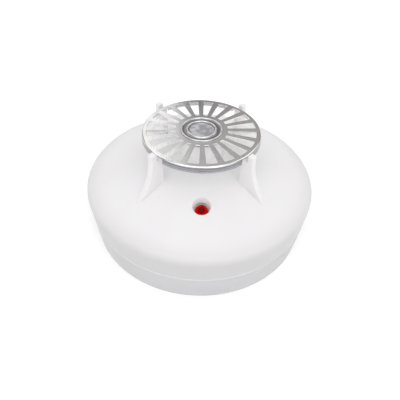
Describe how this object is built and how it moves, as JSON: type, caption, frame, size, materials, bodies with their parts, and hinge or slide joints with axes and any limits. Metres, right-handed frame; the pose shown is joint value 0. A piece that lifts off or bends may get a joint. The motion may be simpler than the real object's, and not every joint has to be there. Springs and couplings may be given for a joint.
{
  "type": "heat detector",
  "caption": "Round ceiling heat detector: conical cover, upright fins holding a slotted metal heat-collector disc, recessed status light, twist-off bayonet mounting base.",
  "frame": {"origin": "centre of the mounting base's underside, the face that goes against the ceiling", "axes": "+Z away from the ceiling, through the heat collector; the status light is on the -Y side; X runs through the fixing slots"},
  "size_m": [0.1, 0.1, 0.0476],
  "materials": {
    "cover_abs": "satin moulded white",
    "base_abs": "satin moulded white",
    "chassis_abs": "fine-textured moulded off-white",
    "collector_aluminium": "stamped, bright with drawing streaks",
    "cap_aluminium": "drawn, semi-bright",
    "spring_steel": "dark, oil-hardened",
    "bimetal": "rolled",
    "phenolic": "moulded thermoset",
    "ceramic_white": "matt fired",
    "brass_strip": "rolled strip",
    "zinc_steel": "bright zinc plated",
    "tinned_wire": "tinned",
    "wire_insulation": "extruded",
    "led_red": "clear tinted epoxy",
    "led_holder": "moulded",
    "board_laminate": "solder mask over glass epoxy",
    "relay_case": "moulded",
    "component_black": "moulded epoxy",
    "capacitor_sleeve": "shrunk sleeve",
    "resistor_body": "lacquered",
    "disc_ceramic": "dipped"
  },
  "bodies": {
    "base": {"mounting_base": "base_abs", "clamp_washers": "zinc_steel", "terminal_screws": "zinc_steel", "contact_spring_1": "brass_strip", "contact_spring_2": "brass_strip", "contact_spring_3": "brass_strip", "contact_spring_4": "brass_strip"},
    "head": {"front_cover": "cover_abs", "heat_collector": "collector_aluminium", "collector_ring": "spring_steel", "thermostat_cap": "cap_aluminium", "bimetal_disc": "bimetal", "thermostat_body": "phenolic", "thermostat_base": "phenolic", "leaf_terminal": "brass_strip", "fixed_contact": "brass_strip", "thermostat_leads": "wire_insulation", "status_led": "led_red", "led_spacer": "led_holder", "led_leads": "tinned_wire", "rear_chassis": "chassis_abs", "chassis_screws": "zinc_steel", "contact_pins": "brass_strip", "circuit_board": "board_laminate", "board_screws": "zinc_steel", "relay": "relay_case", "control_chip": "component_black", "chip_legs": "tinned_wire", "bridge_rectifier": "component_black", "capacitors": "capacitor_sleeve", "resistors": "resistor_body", "resistor_leads": "tinned_wire", "diodes": "component_black", "diode_leads": "tinned_wire", "transistors": "component_black", "transistor_legs": "tinned_wire", "disc_capacitors": "disc_ceramic", "contact_blade_1": "brass_strip", "contact_blade_2": "brass_strip", "contact_blade_3": "brass_strip", "contact_blade_4": "brass_strip"},
    "pin": {"transfer_pin": "ceramic_white"},
    "leaf": {"contact_leaf": "brass_strip"}
  },
  "joints": [
    {"name": "head_twist", "type": "hinge", "parent": "base", "child": "head", "pos_m": [0, 0, 0.0074], "axis": [0, 0, 1], "range_deg": [0, 18]},
    {"name": "pin_travel", "type": "slide", "parent": "head", "child": "pin", "axis": [0, 0, -1], "range_m": [0, 0.0005], "stiffness_N_per_m": 400, "deforming": ["bimetal_disc"]},
    {"name": "leaf_flex", "type": "hinge", "parent": "head", "child": "leaf", "pos_m": [-0.005, 0, 0.04], "axis": [0, 1, 0], "range_deg": [0, 5.8]}
  ],
  "couplings": [
    {"joint": "leaf_flex", "follows": "pin_travel", "rad_per_m": 200}
  ]
}
